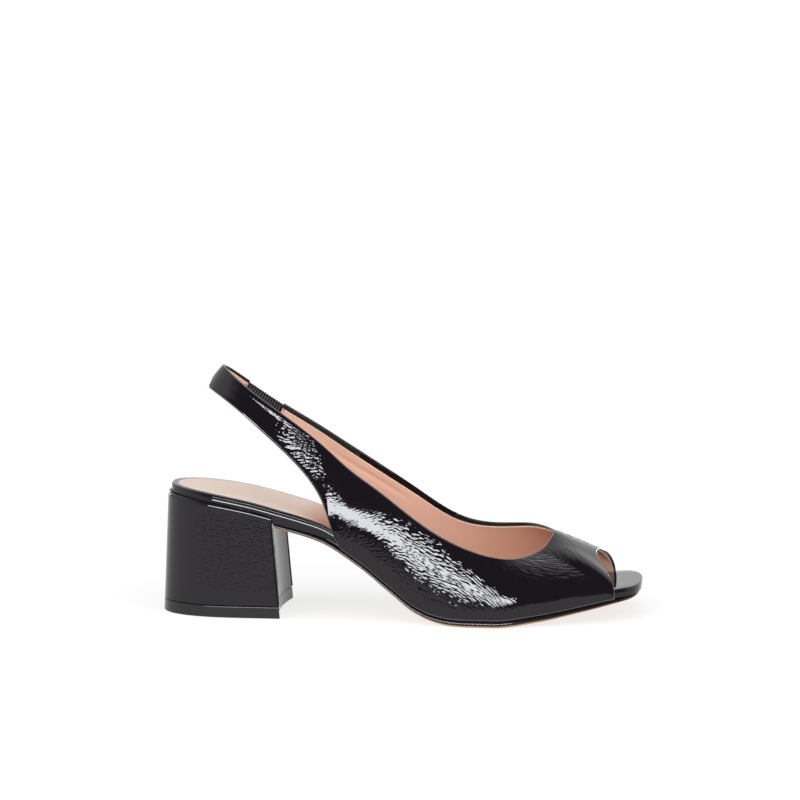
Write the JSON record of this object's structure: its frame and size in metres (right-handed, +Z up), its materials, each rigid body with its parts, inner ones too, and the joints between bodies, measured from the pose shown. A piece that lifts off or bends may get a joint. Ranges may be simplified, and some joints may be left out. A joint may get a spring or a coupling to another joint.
{
  "type": "slingback shoe",
  "caption": "Peep-toe slingback shoe for the right foot: glossy black upper open at the toe, elasticated heel strap, nude insole, thin tan sole and a flared block heel.",
  "frame": {"origin": "centre of the shoe's box on the floor", "axes": "+X towards the toe, +Y towards the medial side, +Z up"},
  "size_m": [0.2465, 0.0837, 0.1276],
  "materials": {
    "patent_leather": "crinkled high-gloss patent",
    "nude_leather": "smooth matte",
    "tan_sole": "satin underside with a dark edge",
    "lift_rubber": "matte",
    "gathered_elastic": "gathered weave"
  },
  "bodies": {
    "root": {"outsole": "tan_sole", "insole_board": "patent_leather", "insole_sock": "nude_leather", "heel_block": "patent_leather", "heel_top_piece": "lift_rubber", "upper": "patent_leather", "elastic_insert": "gathered_elastic"}
  },
  "joints": []
}
